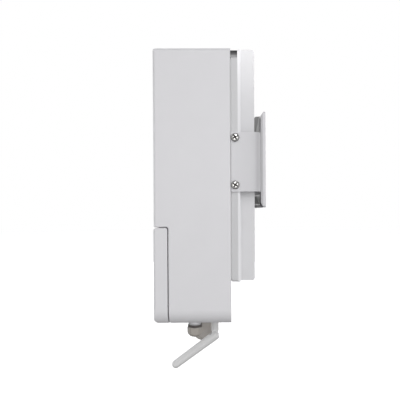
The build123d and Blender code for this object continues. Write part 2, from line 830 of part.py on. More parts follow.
capacitors.part.label = "capacitors"
export_step(capacitors.part, "parts/capacitors.step")

transformer_at = (-34.0, board_middle - 8.0)
transformer_size = (48.0, 42.0)
coil_height = 30.0

with BuildPart() as transformer_core:
    with BuildSketch(facing(board_front - 4.0)):
        with Locations(transformer_at):
            Rectangle(transformer_size[0], transformer_size[1] - 12.0)
            Rectangle(transformer_size[0] - 14.0, 60.0, mode=Mode.SUBTRACT)
    extrude(amount=coil_height + 10.0)
    for core_y in (board_front - 4.0, board_front - 9.0 - coil_height):
        with BuildSketch(facing(core_y)):
            with Locations(transformer_at):
                Rectangle(transformer_size[0], transformer_size[1] - 12.0)
        extrude(amount=5.0)
    with BuildSketch(facing(board_front - 9.0)):
        with Locations(transformer_at):
            Circle(8.0)
    extrude(amount=coil_height)

transformer_core.part.label = "transformer_core"
export_step(transformer_core.part, "parts/transformer_core.step")

with BuildPart() as transformer_coil:
    with BuildSketch(facing(board_front - 9.0 - fit_gap)):
        with Locations(transformer_at):
            Rectangle(transformer_size[0] - 15.0, transformer_size[1])
            fillet(vertices(), 4.0)
            Circle(8.0 + fit_gap, mode=Mode.SUBTRACT)
    extrude(amount=coil_height - 2 * fit_gap)
    # the bobbin's two feet stand on the board beside the core
    with BuildSketch(facing(board_front)):
        foot_z = transformer_size[1] / 2 - 2.5
        with Locations(*[(transformer_at[0], transformer_at[1] + z) for z in mirrored([foot_z])]):
            Rectangle(24.0, 5.0)
    extrude(amount=9.5)

transformer_coil.part.label = "transformer_coil"
export_step(transformer_coil.part, "parts/transformer_coil.step")

with BuildPart() as choke:
    with BuildSketch(facing(board_front)):
        with Locations((34.0, board_middle + 14.0)):
            Circle(17.0)
            Circle(6.5, mode=Mode.SUBTRACT)
    extrude(amount=15.0)
    fillet(edges().filter_by(GeomType.CIRCLE).group_by(Axis.Y)[0], 3.0)

choke.part.label = "choke"
export_step(choke.part, "parts/choke.step")

with BuildPart() as relays:
    with BuildSketch(facing(board_front)):
        with Locations((-14.0, board_bottom + 46.5)):
            with GridLocations(36.0, 0, 2, 1):
                Rectangle(29.0, 13.0)
    extrude(amount=16.0)
    fillet(edges().group_by(Axis.Y)[0], 0.8)

relays.part.label = "relays"
export_step(relays.part, "parts/relays.step")

# --- Power transistors clamped to the heat sink --------------------------------------------------
thermal_pad_thickness = 0.4
transistor_thickness = 5.0
transistor_front = pad_front - thermal_pad_thickness - transistor_thickness

with BuildPart() as thermal_pads:
    with BuildSketch(facing(pad_front)):
        with Locations(*[(x, transistor_z) for x in transistor_xs]):
            Rectangle(18.0, 23.0)
    extrude(amount=thermal_pad_thickness)

thermal_pads.part.label = "thermal_pads"
export_step(thermal_pads.part, "parts/thermal_pads.step")

with BuildPart() as power_transistors:
    with BuildSketch(facing(pad_front - thermal_pad_thickness)):
        with Locations(*[(x, transistor_z) for x in transistor_xs]):
            Rectangle(16.0, 21.0)
    extrude(amount=transistor_thickness)
    # legs leave downwards and turn to the board
    for x in transistor_xs:
        for leg in (-5.4, 0.0, 5.4):
            with BuildSketch(side_plane(x + leg - 0.6)):
                with BuildLine():
                    leg_y = pad_front - 3.0
                    leg_z = transistor_z - 10.5
                    Polyline((leg_y, leg_z), (leg_y, leg_z - 8.0), (board_rear, leg_z - 8.0))
                    offset(amount=0.4, side=Side.RIGHT)
                make_face()
            extrude(amount=1.2)

power_transistors.part.label = "power_transistors"
export_step(power_transistors.part, "parts/power_transistors.step")

with BuildPart() as clamp_bar:
    with BuildSketch(facing(transistor_front)):
        with Locations((0, transistor_z)):
            Rectangle(118.0, 10.0)
        with Locations(*[(x, transistor_z) for x in clamp_screw_xs]):
            Circle(m3_radius + fit_gap, mode=Mode.SUBTRACT)
    extrude(amount=2.5)

clamp_bar.part.label = "clamp_bar"
export_step(clamp_bar.part, "parts/clamp_bar.step")

with BuildPart() as clamp_screws:
    with BuildSketch(facing(transistor_front - 2.5)):
        with Locations(*[(x, transistor_z) for x in clamp_screw_xs]):
            Circle(2.8)
    extrude(amount=2.0)
    with BuildSketch(facing(transistor_front - 2.5)):
        with Locations(*[(x, transistor_z) for x in clamp_screw_xs]):
            Circle(m3_radius)
    extrude(amount=-(2.5 + transistor_thickness + thermal_pad_thickness + 4.5))

clamp_screws.part.label = "clamp_screws"
export_step(clamp_screws.part, "parts/clamp_screws.step")

# --- Radio module, its shield and its lead -------------------------------------------------------
# halfway between the terminal block's end and the standoffs, so its lead runs down between them
radio_at = ((terminal_width / 2 + standoff_x) / 2, board_bottom + 44.5)
radio_size = (22.0, 30.0)

with BuildPart() as radio_module:
    with BuildSketch(facing(board_front)):
        with Locations(radio_at):
            Rectangle(*radio_size)
    extrude(amount=1.0)

radio_module.part.label = "radio_module"
export_step(radio_module.part, "parts/radio_module.step")

with BuildPart() as radio_shield:
    with BuildSketch(facing(board_front - 1.0)):
        with Locations((radio_at[0], radio_at[1] + 4.0)):
            Rectangle(18.0, 18.0)
    extrude(amount=2.4)

radio_shield.part.label = "radio_shield"
export_step(radio_shield.part, "parts/radio_shield.step")

connector_top = gland_floor + 9.0
lead_radius = 1.3
lead_front = board_front - 1.0 - lead_radius - 0.2
lead_path = [
    (radio_at[0], lead_front, radio_at[1] - 8.0),
    (radio_at[0], lead_front, board_bottom - 4.0),
    (antenna_at[0], antenna_at[1], connector_top + 14.0),
    (antenna_at[0], antenna_at[1], connector_top),
]

with BuildPart() as coax_pigtail:
    with BuildLine() as lead_line:
        FilletPolyline(*lead_path, radius=[20.0, 12.0])
    with BuildSketch(Plane(lead_path[0], z_dir=(0, 0, -1))):
        Circle(lead_radius)
    sweep(path=lead_line.line)

coax_pigtail.part.label = "coax_pigtail"
export_step(coax_pigtail.part, "parts/coax_pigtail.step")

# --- Antenna connector through the housing's bottom ----------------------------------------------
connector_end = housing_bottom - 9.0
sma_nut_height = 2.2

with BuildPart() as sma_connector:
    with BuildSketch(Plane.XY.offset(connector_end)):
        with Locations(antenna_at):
            Circle(connector_radius)
    extrude(amount=gland_floor - connector_end)
    with BuildSketch(Plane.XY.offset(gland_floor)):
        with Locations(antenna_at):
            RegularPolygon(4.5, 6, major_radius=False)
    extrude(amount=3.0)
    with BuildSketch(Plane.XY.offset(gland_floor + 3.0)):
        with Locations(antenna_at):
            Circle(2.4)
    extrude(amount=connector_top - gland_floor - 3.0)

sma_connector.part.label = "sma_connector"
export_step(sma_connector.part, "parts/sma_connector.step")

with BuildPart() as sma_nut:
    with BuildSketch(Plane.XY.offset(housing_bottom - sma_nut_height)):
        with Locations(antenna_at):
            RegularPolygon(4.0, 6, major_radius=False)
            Circle(connector_radius + fit_gap, mode=Mode.SUBTRACT)
    extrude(amount=sma_nut_height)

sma_nut.part.label = "sma_nut"
export_step(sma_nut.part, "parts/sma_nut.step")

# --- Antenna: swivelling base with a flat tongue, and a tilting whip with two cheeks round it -----
collar_end = housing_bottom - collar_drop
pivot_z = collar_end - clear_gap - whip_radius
base_top = housing_bottom - sma_nut_height - clear_gap
tongue_half = 2.3
tongue_radius = 3.6
cheek_gap = 0.25
antenna_pin_radius = 1.2
pin_half = 4.4  # the pin ends inside the cheeks' round flanks

with BuildPart() as antenna_base:
    with BuildSketch(Plane.XY.offset(collar_end)):
        with Locations(antenna_at):
            Circle(base_radius)
    extrude(amount=base_top - collar_end)
    fillet(edges().filter_by(GeomType.CIRCLE).group_by(Axis.Z)[-1], 0.5)
    with BuildSketch(side_plane(antenna_at[0] - tongue_half)):
        with Locations((antenna_at[1], pivot_z)):
            Circle(tongue_radius)
        span(
            antenna_at[1] - tongue_radius,
            antenna_at[1] + tongue_radius,
            pivot_z,
            collar_end + 0.5,
        )
        with Locations((antenna_at[1], pivot_z)):
            Circle(antenna_pin_radius + 0.02, mode=Mode.SUBTRACT)
    extrude(amount=2 * tongue_half)
    # bore that turns on the connector
    with BuildSketch(Plane.XY.offset(connector_end - 0.6)):
        with Locations(antenna_at):
            Circle(connector_radius + fit_gap)
    extrude(amount=base_top - connector_end + 0.6, mode=Mode.SUBTRACT)

antenna_base.part.label = "antenna_base"
export_step(antenna_base.part, "parts/antenna_base.step")

with BuildPart() as antenna_hinge_pin:
    with BuildSketch(side_plane(antenna_at[0] - pin_half)):
        with Locations((antenna_at[1], pivot_z)):
            Circle(antenna_pin_radius)
    extrude(amount=2 * pin_half)

antenna_hinge_pin.part.label = "antenna_hinge_pin"
export_step(antenna_hinge_pin.part, "parts/antenna_hinge_pin.step")

tilt = radians(antenna_tilt)
pivot = (antenna_at[0], antenna_at[1], pivot_z)
whip_axis = (0, -sin(tilt), -cos(tilt))
whip_side = Plane(origin=pivot, x_dir=whip_axis, z_dir=(1, 0, 0))
whip_end_radius = 4.6
slot_reach = tongue_radius + 0.4

with BuildPart() as antenna_whip:
    # round rod with two ball ends, a little thinner at the far one
    with BuildSketch(whip_side):
        with BuildLine():
            end_centre = whip_length - whip_end_radius
            ThreePointArc(
                (-whip_radius, 0),
                (-whip_radius * cos(radians(45)), whip_radius * sin(radians(45))),
                (0, whip_radius),
            )
            Line((0, whip_radius), (end_centre, whip_end_radius))
            ThreePointArc(
                (end_centre, whip_end_radius),
                (end_centre + whip_end_radius * cos(radians(45)), whip_end_radius * sin(radians(45))),
                (whip_length, 0),
            )
            Line((whip_length, 0), (-whip_radius, 0))
        make_face()
    revolve(axis=Axis(pivot, whip_axis))
    # slot that lets the base's tongue pass from the end of the rod to its upper side
    with BuildSketch(whip_side.offset(-tongue_half - cheek_gap)):
        span(-whip_radius - 1, slot_reach, -whip_radius - 1, slot_reach)
    extrude(amount=2 * (tongue_half + cheek_gap), mode=Mode.SUBTRACT)
    with BuildSketch(whip_side.offset(-pin_half - 0.2)):
        Circle(antenna_pin_radius + fit_gap)
    extrude(amount=2 * (pin_half + 0.2), mode=Mode.SUBTRACT)

antenna_whip.part.label = "antenna_whip"
export_step(antenna_whip.part, "parts/antenna_whip.step")

# --- Cable glands --------------------------------------------------------------------------------
neck_share = 0.8  # of the thread's radius
seal_wall = 1.3
shank_rise = 7.0  # of the shank above the pad inside

for gland in glands:
    seat = housing_bottom - gland.boss_drop
    nut_top = seat - gland.collar
    nut_end = nut_top - gland.nut
    corner = gland.flats / 2 / cos(radians(30))
    seal_radius = gland.bore + 0.9

    with BuildPart() as gland_body:
        with BuildSketch(Plane.XY.offset(seat)):
            with Locations(gland.place):
                Circle(gland.thread)
        extrude(amount=gland_floor + shank_rise - seat)
        with BuildSketch(Plane.XY.offset(nut_top)):
            with Locations(gland.place):
                RegularPolygon(gland.flats / 2, 6, major_radius=False)
        extrude(amount=gland.collar)
        with BuildSketch(Plane.XY.offset(nut_top)):
            with Locations(gland.place):
                Circle(neck_share * gland.thread)
        extrude(amount=-gland.neck)
        with BuildSketch(Plane.XY.offset(nut_top - gland.neck)):
            with Locations(gland.place):
                Circle(seal_radius)
        extrude(amount=gland_floor + shank_rise - nut_top + gland.neck, mode=Mode.SUBTRACT)

    gland_body.part.label = f"{gland.name}_gland_body"
    export_step(gland_body.part, f"parts/{gland.name}_gland_body.step")

    # dome nut: its corners are turned off towards the end
    with BuildPart() as gland_nut:
        with BuildSketch(Plane.XY.offset(nut_end)):
            with Locations(gland.place):
                RegularPolygon(gland.flats / 2, 6, major_radius=False)
        extrude(amount=gland.nut)
        with BuildSketch(Plane.XZ.offset(-gland.place[1])):
            with BuildLine():
                middle = gland.place[0]
                rim = middle + corner
                Polyline(
                    (middle, nut_end),
                    (middle, nut_top),
                    (rim - 0.6, nut_top),
                    (rim, nut_top - 0.6),
                    (rim, nut_top - gland.straight),
                )
                RadiusArc(
                    (rim, nut_top - gland.straight),
                    (middle + gland.end_radius, nut_end),
                    (gland.nut - gland.straight) * 1.15,
                )
                Line((middle + gland.end_radius, nut_end), (middle, nut_end))
            make_face()
        revolve(axis=Axis((*gland.place, 0), (0, 0, 1)), mode=Mode.INTERSECT)
        with BuildSketch(Plane.XY.offset(nut_top)):
            with Locations(gland.place):
                Circle(neck_share * gland.thread + fit_gap)
        extrude(amount=-(gland.neck + clear_gap), mode=Mode.SUBTRACT)
        with BuildSketch(Plane.XY.offset(nut_end)):
            with Locations(gland.place):
                Circle(gland.bore)
        extrude(amount=gland.nut, mode=Mode.SUBTRACT)

    gland_nut.part.label = f"{gland.name}_gland_nut"
    export_step(gland_nut.part, f"parts/{gland.name}_gland_nut.step")

    # rubber sleeve inside the neck
    with BuildPart() as gland_seal:
        with BuildSketch(Plane.XY.offset(nut_top - gland.neck)):
            with Locations(gland.place):
                Circle(seal_radius - fit_gap)
                Circle(seal_radius - seal_wall, mode=Mode.SUBTRACT)
        extrude(amount=gland.neck)

    gland_seal.part.label = f"{gland.name}_gland_seal"
    export_step(gland_seal.part, f"parts/{gland.name}_gland_seal.step")

    # lock nut on the housing's floor
    with BuildPart() as gland_locknut:
        with BuildSketch(Plane.XY.offset(gland_floor)):
            with Locations(gland.place):
                RegularPolygon(gland.flats / 2, 6, major_radius=False)
                Circle(gland.thread + fit_gap, mode=Mode.SUBTRACT)
        extrude(amount=4.0)

    gland_locknut.part.label = f"{gland.name}_gland_locknut"
    export_step(gland_locknut.part, f"parts/{gland.name}_gland_locknut.step")
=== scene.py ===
import json
from math import cos, pi, radians, sin

import bmesh
import bpy
from mathutils import Matrix, Vector


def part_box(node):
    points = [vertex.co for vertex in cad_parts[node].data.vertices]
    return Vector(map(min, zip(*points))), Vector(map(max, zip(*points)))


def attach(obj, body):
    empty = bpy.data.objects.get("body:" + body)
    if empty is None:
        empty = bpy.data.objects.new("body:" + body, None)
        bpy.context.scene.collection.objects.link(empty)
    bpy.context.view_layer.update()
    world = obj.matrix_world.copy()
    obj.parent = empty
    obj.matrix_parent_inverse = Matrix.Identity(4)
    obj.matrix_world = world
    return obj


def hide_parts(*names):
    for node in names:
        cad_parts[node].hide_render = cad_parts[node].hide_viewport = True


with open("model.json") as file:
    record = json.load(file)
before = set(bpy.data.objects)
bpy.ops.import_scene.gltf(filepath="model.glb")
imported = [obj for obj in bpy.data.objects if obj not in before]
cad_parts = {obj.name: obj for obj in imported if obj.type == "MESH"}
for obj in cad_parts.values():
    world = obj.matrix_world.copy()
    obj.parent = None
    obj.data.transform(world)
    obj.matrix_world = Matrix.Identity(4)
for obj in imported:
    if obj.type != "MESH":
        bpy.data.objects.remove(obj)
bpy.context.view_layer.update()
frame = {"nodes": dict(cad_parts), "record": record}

nodes = frame["nodes"]

# --- Materials -----------------------------------------------------------------------------------
NOISE_DETAIL = 4.0
ROUGHNESS_SPREAD = 0.04
BUMP_DISTANCE = 0.0002


def node_material(name, base, spread, roughness, scale=40.0, grain=900.0, bump=0.02, metallic=0.0, specular=0.5):
    """A surface with slow colour variation, fine grain in its bump and a roughness that varies."""
    mat = bpy.data.materials.new(name)
    mat.use_nodes = True
    tree = mat.node_tree
    shader = tree.nodes["Principled BSDF"]
    shader.inputs["Metallic"].default_value = metallic
    shader.inputs["Specular IOR Level"].default_value = specular
    place = tree.nodes.new("ShaderNodeTexCoord")

    def noise(size, rough):
        cloud = tree.nodes.new("ShaderNodeTexNoise")
        cloud.inputs["Scale"].default_value = size
        cloud.inputs["Detail"].default_value = NOISE_DETAIL
        cloud.inputs["Roughness"].default_value = rough
        tree.links.new(place.outputs["Object"], cloud.inputs["Vector"])
        return cloud

    broad = noise(scale, 0.5)
    ramp = tree.nodes.new("ShaderNodeValToRGB")
    darkest, lightest = ramp.color_ramp.elements
    darkest.position = 0.3
    darkest.color = (*(max(0.0, c - spread) for c in base), 1)
    lightest.position = 0.7
    lightest.color = (*(min(1.0, c + spread) for c in base), 1)
    tree.links.new(broad.outputs["Fac"], ramp.inputs["Fac"])
    tree.links.new(ramp.outputs["Color"], shader.inputs["Base Color"])
    fine = noise(grain, 0.6)
    spread_map = tree.nodes.new("ShaderNodeMapRange")
    spread_map.inputs["From Min"].default_value = 0.3
    spread_map.inputs["From Max"].default_value = 0.7
    spread_map.inputs["To Min"].default_value = roughness - ROUGHNESS_SPREAD
    spread_map.inputs["To Max"].default_value = roughness + ROUGHNESS_SPREAD
    tree.links.new(fine.outputs["Fac"], spread_map.inputs["Value"])
    tree.links.new(spread_map.outputs["Result"], shader.inputs["Roughness"])
    relief = tree.nodes.new("ShaderNodeBump")
    relief.inputs["Strength"].default_value = bump
    relief.inputs["Distance"].default_value = BUMP_DISTANCE
    tree.links.new(fine.outputs["Fac"], relief.inputs["Height"])
    tree.links.new(relief.outputs["Normal"], shader.inputs["Normal"])
    return mat


# name: colour, colour spread, roughness, and what differs from a plain moulded surface
finishes = {
    "white_plastic": dict(base=(0.798, 0.792, 0.813), spread=0.006, roughness=0.5, grain=2400, bump=0.15),
    "painted_sheet": dict(base=(0.78, 0.78, 0.79), spread=0.008, roughness=0.42, grain=1600, bump=0.2),
    "painted_aluminium": dict(base=(0.70, 0.697, 0.716), spread=0.008, roughness=0.23, grain=1600, bump=0.1,
                              specular=1.0),
    "steel": dict(base=(0.62, 0.61, 0.60), spread=0.04, roughness=0.22, metallic=1.0, grain=700, bump=0.1),
    "black_rubber": dict(base=(0.035, 0.035, 0.04), spread=0.008, roughness=0.7, grain=900, bump=0.3),
    "brass": dict(base=(0.72, 0.52, 0.22), spread=0.04, roughness=0.3, metallic=1.0, grain=700, bump=0.1),
    "clear_lens": dict(base=(0.30, 0.33, 0.36), spread=0.02, roughness=0.15, grain=300, bump=0.02),
    "green_board": dict(base=(0.02, 0.16, 0.06), spread=0.01, roughness=0.35, grain=500, bump=0.2),
    "terminal_plastic": dict(base=(0.05, 0.25, 0.11), spread=0.01, roughness=0.45, grain=900, bump=0.1),
    "capacitor_sleeve": dict(base=(0.03, 0.04, 0.09), spread=0.01, roughness=0.25, grain=400, bump=0.05),
    "ferrite": dict(base=(0.05, 0.05, 0.055), spread=0.01, roughness=0.6, grain=700, bump=0.3),
    "coil_tape": dict(base=(0.62, 0.45, 0.06), spread=0.03, roughness=0.3, grain=300, bump=0.1),
    "choke_lacquer": dict(base=(0.42, 0.15, 0.05), spread=0.05, roughness=0.25, grain=300, bump=0.3),
    "black_plastic": dict(base=(0.03, 0.03, 0.03), spread=0.006, roughness=0.4, grain=900, bump=0.1),
    "thermal_silicone": dict(base=(0.42, 0.44, 0.5), spread=0.02, roughness=0.8, grain=600, bump=0.2),
    "antenna_plastic": dict(base=(0.785, 0.785, 0.785), spread=0.006, roughness=0.42, grain=2000, bump=0.12),
    "grey_nylon": dict(base=(0.378, 0.350, 0.319), spread=0.02, roughness=0.45, grain=1400, bump=0.2),
}
materials = {name: node_material(name, **finish) for name, finish in finishes.items()}


def paint_light_and_shade(mat, axis, low, high, stops):
    """The same surface with painted light and shade: its colour scaled along one axis, by (place from low to high,
    share) stops.
    """
    tree = mat.node_tree
    shader = tree.nodes["Principled BSDF"]
    where = tree.nodes.new("ShaderNodeTexCoord")
    split = tree.nodes.new("ShaderNodeSeparateXYZ")
    span = tree.nodes.new("ShaderNodeMapRange")
    span.inputs["From Min"].default_value = low
    span.inputs["From Max"].default_value = high
    ramp = tree.nodes.new("ShaderNodeValToRGB")
    elements = ramp.color_ramp.elements
    elements.remove(elements[1])
    for i, (place, share) in enumerate(stops):
        position = (place - low) / (high - low)
        stop = elements.new(position) if i else elements[0]
        stop.position = position
        stop.color = (share, share, share, 1)
    tint = tree.nodes.new("ShaderNodeMix")
    tint.data_type = "RGBA"
    tint.blend_type = "MULTIPLY"
    tint.inputs["Factor"].default_value = 1.0
    tree.links.new(where.outputs["Object"], split.inputs["Vector"])
    tree.links.new(split.outputs[axis], span.inputs["Value"])
    tree.links.new(span.outputs["Result"], ramp.inputs["Fac"])
    tree.links.new(shader.inputs["Base Color"].links[0].from_socket, tint.inputs["A"])
    tree.links.new(ramp.outputs["Color"], tint.inputs["B"])
    tree.links.new(tint.outputs["Result"], shader.inputs["Base Color"])
    return mat


# Nodes whose colour differs from their slot's, or that the photo shows darker or lighter along an axis
# painted light and shade: the ramps below scale these nodes' colour along an axis to stand in for how light falls
boss_height = 0.0022  # the small gland's boss, below the housing's flat bottom
sheet_white = dict(base=(0.724, 0.719, 0.741), spread=0.008, roughness=0.42, grain=1600, bump=0.2)
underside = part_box("housing")[0].z + boss_height
seal_low, seal_high = (corner.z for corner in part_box("top_seal"))

# painted shade: the boss below the housing's flat bottom is darkened
boss_painted_shade = [(underside - 0.0006, 0.66), (underside - 0.0002, 1.0)]
# painted shade: the housing darker towards its top
housing_top_painted_shade = [(0.0, 1.0), (0.09, 0.968), (0.118, 0.955)]
# painted shade: the bracket darker towards the wall, across its bend
bracket_bend_painted_shade = [(-0.03, 1.0), (-0.018, 0.96), (-0.012, 0.9), (-0.009, 0.76), (-0.003, 0.74)]
# painted highlight: a lighter band along the heat sink's base-plate edge
sink_edge_painted_highlight = [(-0.0308, 1.0), (-0.0298, 1.22), (-0.0272, 1.22), (-0.0262, 1.0)]
# painted reflection: the heat sink lighter towards its top and a little darker below
sink_painted_reflection = [(-0.10, 0.965), (0.045, 0.965), (0.075, 1.0), (0.112, 1.05)]
# painted shade: the top seal darkened towards its top, standing in for the shade in the notch it fills
seal_painted_shade = [(seal_low, 1.0), (seal_low + 0.0012, 0.64), (seal_low + 0.0023, 0.37), (seal_low + 0.0034, 0.21),
           (seal_low + 0.0045, 0.125), (seal_low + 0.0056, 0.06)]
# painted shade: the wall plate darker towards its front, over its rims
plate_rim_painted_shade = [(-0.006, 0.62), (-0.0034, 0.72), (-0.0024, 1.0)]

housing_paint = node_material("housing_paint", **finishes["white_plastic"])
housing_paint = paint_light_and_shade(housing_paint, "Z", underside - 0.003, underside + 0.003, boss_painted_shade)
sink_paint = node_material("sink_paint", **finishes["painted_aluminium"])
sink_paint = paint_light_and_shade(sink_paint, "Y", -0.05, 0.0, sink_edge_painted_highlight)
# painted light: a light grey base for the top seal's rubber, which the ramp then darkens
rubber_painted_light = node_material("rubber_painted_light", (0.56, 0.56, 0.565), 0.01, 0.7, grain=900, bump=0.3)
own_finish = {
    "housing": paint_light_and_shade(housing_paint, "Z", -0.2, 0.12, housing_top_painted_shade),
    "housing_gasket": node_material("grey_seal", (0.74, 0.74, 0.74), 0.01, 0.7, grain=900, bump=0.3),
    "rear_frame": node_material("frame_paint", (0.64, 0.64, 0.65), 0.008, 0.45, grain=1600, bump=0.2),
    "mounting_bracket": paint_light_and_shade(node_material("bracket_paint", **sheet_white), "Y", -0.05, 0.0, bracket_bend_painted_shade),
    "heat_sink": paint_light_and_shade(sink_paint, "Z", -0.14, 0.12, sink_painted_reflection),
    "top_seal": paint_light_and_shade(rubber_painted_light, "Z", seal_low, seal_high, seal_painted_shade),
    # painted shadow: the small gland's body is made dark to stand in for the shadow under its collar
    "small_gland_body": node_material("gland_body_painted_shadow", (0.10, 0.09, 0.085), 0.01, 0.5, grain=1400, bump=0.2),
    "large_gland_body": node_material("pale_nylon", (0.517, 0.485, 0.455), 0.02, 0.45, grain=1400, bump=0.2),
    "wall_plate": paint_light_and_shade(node_material("plate_paint", **sheet_white), "Y", -0.012, 0.0, plate_rim_painted_shade),
}
for entry in frame["record"]["subparts"]:
    node = nodes[entry["node"]]
    node.data.materials.clear()
    node.data.materials.append(own_finish.get(entry["node"], materials[entry["material_slot"]]))


# --- Mesh helpers --------------------------------------------------------------------------------
def piece(name, rings, material, body, marks=None, smooth=radians(35)):
    """A mesh of rings of points, each joined to the next and capped at both ends; the last may be one point."""
    mesh = bpy.data.meshes.new(name)
    build = bmesh.new()
    rows = [[build.verts.new(point) for point in ring] for ring in rings]
    for upper, lower in zip(rows, rows[1:]):
        count = len(upper)
        for i in range(count):
            j = (i + 1) % count
            if len(lower) == 1:
                build.faces.new((upper[i], lower[0], upper[j]))
            else:
                build.faces.new((upper[i], lower[i], lower[j], upper[j]))
    for row in (rows[0], rows[-1]):
        if len(row) > 2:
            build.faces.new(row)
    bmesh.ops.recalc_face_normals(build, faces=build.faces)
    for face in build.faces:
        face.smooth = True
    build.to_mesh(mesh)
    build.free()
    mesh.set_sharp_from_angle(angle=smooth)
    if marks is not None:
        layer = mesh.attributes.new("rim_and_recess_shade", "FLOAT", "POINT")
        layer.data.foreach_set("value", [value for row in marks for value in row])
    mesh.materials.append(material)
    thing = bpy.data.objects.new(name, mesh)
    bpy.context.scene.collection.objects.link(thing)
    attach(thing, body)
    return thing


def ease(value):
    """From 0 to 1 without a sharp start or end."""
    value = min(1.0, max(0.0, value))
    return value * value * (3 - 2 * value)


def soft_min(a, b, power):
    """The smaller of two lengths, with a rounded corner where they meet."""
    return (a ** -power + b ** -power) ** (-1.0 / power)


def with_rim_and_recess_shade(mat, dark, roughness):
    """The same metal, darkened by painted shade and roughened where the mesh carries its shade attribute."""
    tree = mat.node_tree
    shader = tree.nodes["Principled BSDF"]
    rim_and_recess_shade = tree.nodes.new("ShaderNodeAttribute")
    rim_and_recess_shade.attribute_name = "rim_and_recess_shade"
    tint = tree.nodes.new("ShaderNodeMix")
    tint.data_type = "RGBA"
    tint.inputs["B"].default_value = (*dark, 1)
    rough = tree.nodes.new("ShaderNodeMix")
    rough.inputs["B"].default_value = roughness
    old_colour = shader.inputs["Base Color"].links[0].from_socket
    old_rough = shader.inputs["Roughness"].links[0].from_socket
    tree.links.new(rim_and_recess_shade.outputs["Fac"], tint.inputs["Factor"])
    tree.links.new(old_colour, tint.inputs["A"])
    tree.links.new(tint.outputs["Result"], shader.inputs["Base Color"])
    tree.links.new(rim_and_recess_shade.outputs["Fac"], rough.inputs["Factor"])
    tree.links.new(old_rough, rough.inputs["A"])
    tree.links.new(rough.outputs["Result"], shader.inputs["Roughness"])
    return mat


# --- Pan-head screws with a cross recess, in the bracket's wings ---------------------------------
# Drawn as a 9 mm head, in mm from the wing's face, and scaled to the CAD's head in pan_head.
HEAD_POINTS = 72
HEAD_RADIUS = 4.5
EDGE_HEIGHT, CROWN_RISE = 2.85, 0.33
CROSS_DEPTH, CROSS_HALF_WIDTH, CROSS_TAPER, CROSS_REACH = 1.9, 0.92, 0.07, 3.05
WELL_DEPTH, WELL_RADIUS = 2.0, 1.35
RIM_START = 3.85  # painted shade lies in the angle between head and wing

# painted shade: the screws go dark and rough at the rim of the head and in its cross recess
screw_steel = with_rim_and_recess_shade(
    node_material("screw_steel", (0.88, 0.87, 0.85), 0.05, 0.14, metallic=1.0, scale=300, grain=1500, bump=0.08),
    (0.025, 0.02, 0.018), 0.6)
shank = [(1.6, -9.6), (2.0, -9.2), (2.0, -0.3), (2.3, 0.02), (4.2, 0.02), (4.42, 0.16)]
dome = [(4.5, 0.45), (4.46, 0.9), (4.34, 1.35), (4.12, 1.8), (3.8, 2.2), (3.4, 2.55), (3.1, 2.72), (2.8, EDGE_HEIGHT)]
dome += [(2.8 - 0.14 * k, EDGE_HEIGHT + CROWN_RISE * (1 - ((20 - k) / 20) ** 2)) for k in range(1, 20)]


def recess_depth(rho, u, v):
    """How deep the cross is cut at radius rho and at (u, v), measured along its two arms."""
    depth = 0.0
    for along, across in ((u, v), (v, u)):
        wall = ease((CROSS_HALF_WIDTH - CROSS_TAPER * abs(along) - abs(across)) / 0.22)
        end = ease((CROSS_REACH - abs(along)) / 0.5)
        depth = max(depth, CROSS_DEPTH * wall * end)
    return max(depth, WELL_DEPTH * ease((WELL_RADIUS - rho) / 0.45))


def pan_head(name, centre, out, radius, turn):
    """A screw at centre on the wing, with its head towards out (+1 or -1 along x)."""
    unit = radius / HEAD_RADIUS
    rings, marks = [], []
    for rho, height in shank + dome:
        ring, mark = [], []
        for i in range(HEAD_POINTS):
            angle = 2 * pi * i / HEAD_POINTS
            a, b = rho * cos(angle), rho * sin(angle)
            u, v = a * cos(turn) + b * sin(turn), b * cos(turn) - a * sin(turn)
            depth = recess_depth(rho, u, v) if height > 2.0 else 0.0
            ring.append((centre[0] + out * (height - depth) * unit, centre[1] + a * unit, centre[2] + b * unit))
            # painted shade in the angle under the head's rim and down the cross recess
            rim = 0.9 * ease((rho - RIM_START) / 0.35)
            mark.append(max(rim, ease(depth / 1.2) * 0.92))
        rings.append(ring)
        marks.append(mark)
    well_floor = EDGE_HEIGHT + CROWN_RISE - WELL_DEPTH
    rings.append([(centre[0] + out * well_floor * unit, centre[1], centre[2])])
    marks.append([0.95])
    return piece(name, rings, screw_steel, "unit", marks)


low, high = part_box("bracket_screws")
head = (high.y - low.y) / 2
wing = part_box("mounting_bracket")[1].x
turns = {("right", "upper"): 0.5, ("right", "lower"): 1.0, ("left", "upper"): 0.2, ("left", "lower"): 1.25}
for side, out in (("right", 1), ("left", -1)):
    for level, z in (("upper", high.z - head), ("lower", low.z + head)):
        place = (out * wing, (low.y + high.y) / 2, z)
        pan_head(f"wing_screw_{side}_{level}", place, out, head, turns[side, level])
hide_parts("bracket_screws")


# --- Cable gland nuts: rounded hexagons that close in to a dome ----------------------------------
NUT_POINTS = 96
DOME_STEPS = 14


